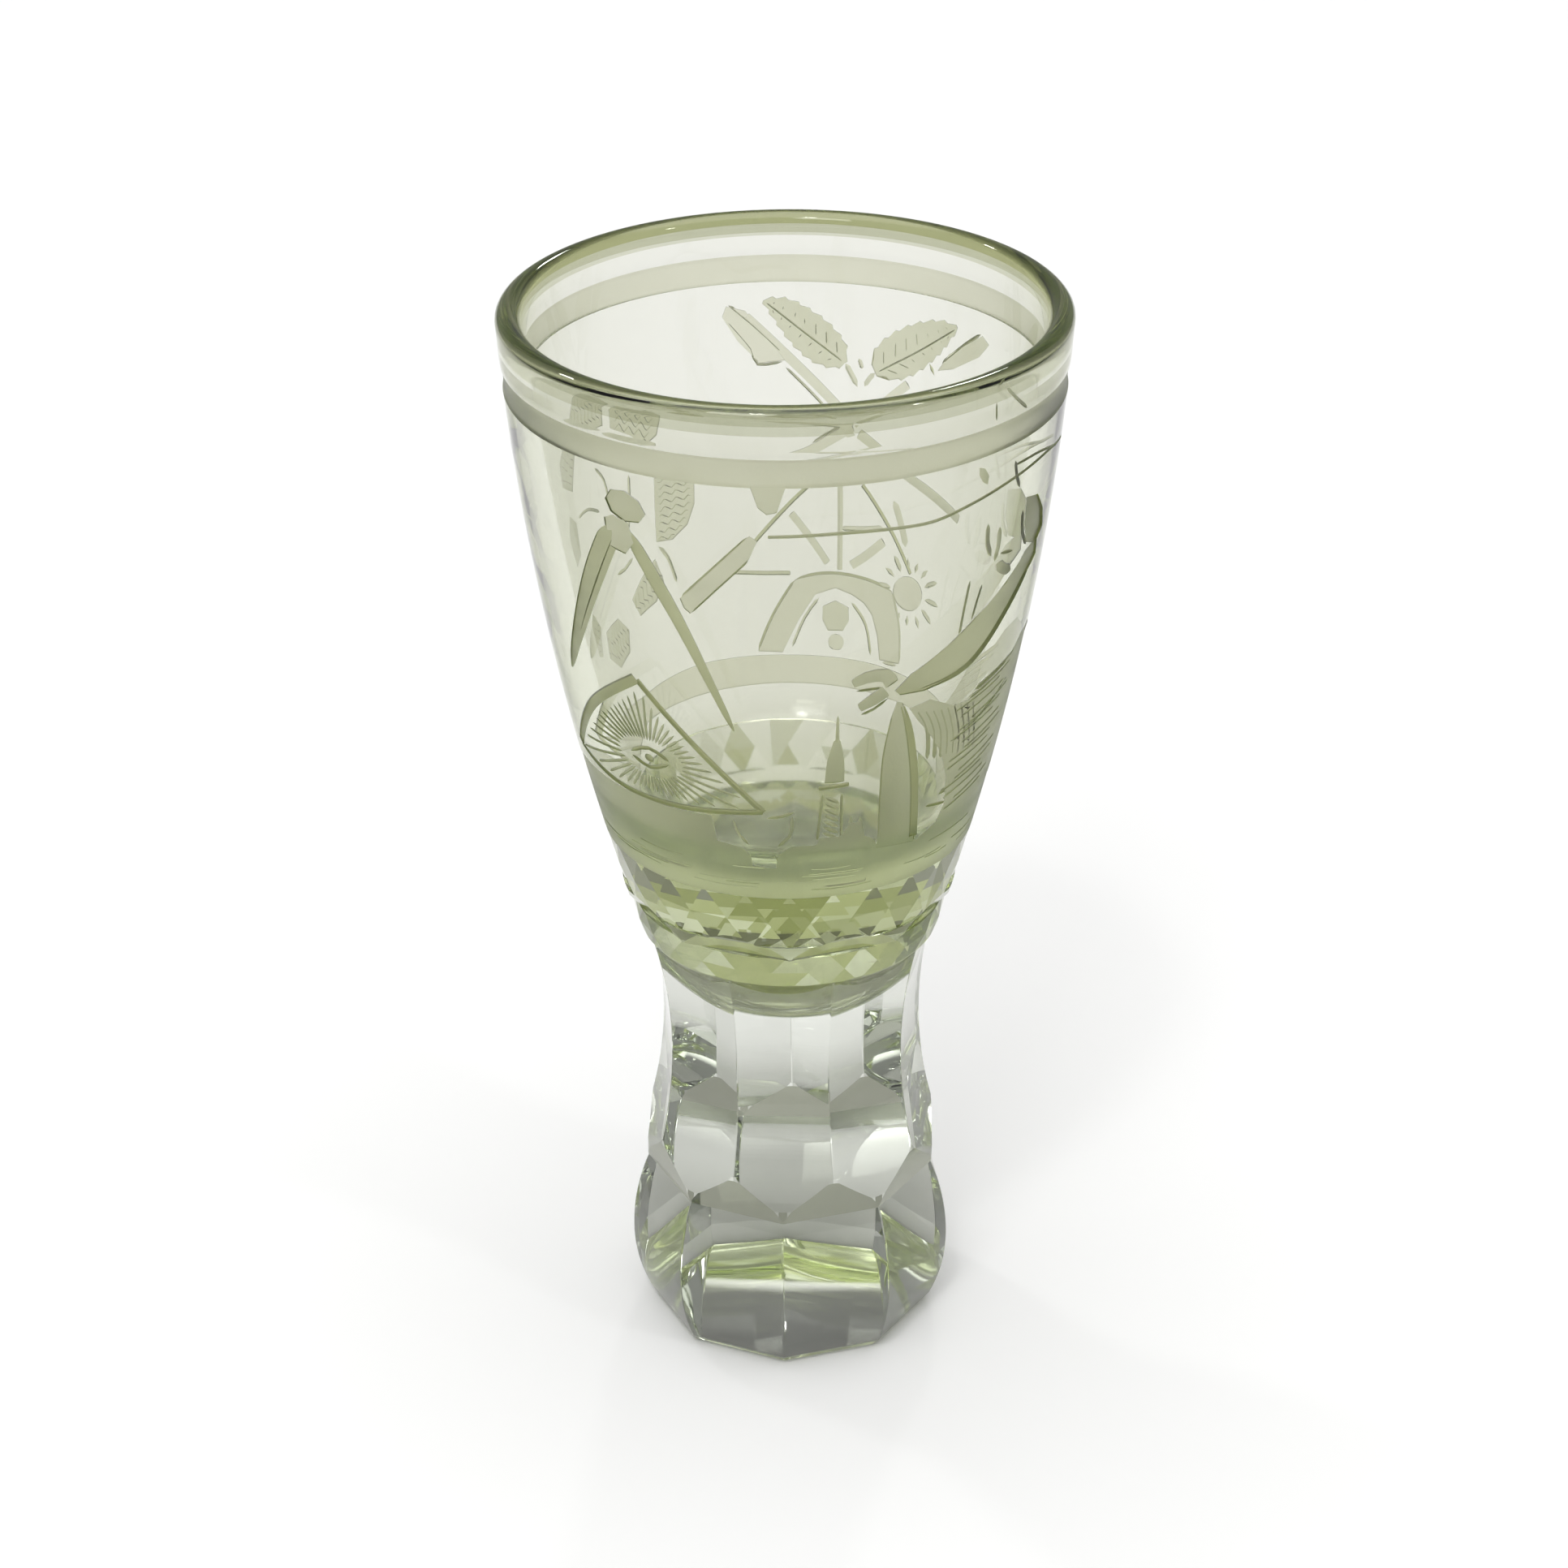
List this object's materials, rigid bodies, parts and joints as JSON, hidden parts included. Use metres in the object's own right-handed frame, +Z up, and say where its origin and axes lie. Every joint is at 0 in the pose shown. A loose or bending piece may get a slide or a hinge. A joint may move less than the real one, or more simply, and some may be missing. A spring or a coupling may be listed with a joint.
{
  "type": "footed lodge toasting glass",
  "caption": "Heavy footed drinking glass: a pale green engraved bowl with a thick round bottom, fused into a solid clear faceted stem and foot.",
  "frame": {"origin": "middle of the flat underside of the foot", "axes": "+Z up along the glass's axis, -Y towards the front, which the picture shows"},
  "size_m": [0.0718, 0.0718, 0.147],
  "materials": {
    "bowl_glass": "clear pale yellow-green glass, polished, with matt wheel engraving",
    "stem_glass": "clear colourless glass, cut and polished"
  },
  "bodies": {
    "root": {"bowl": "bowl_glass", "stem_foot": "stem_glass"}
  },
  "joints": []
}
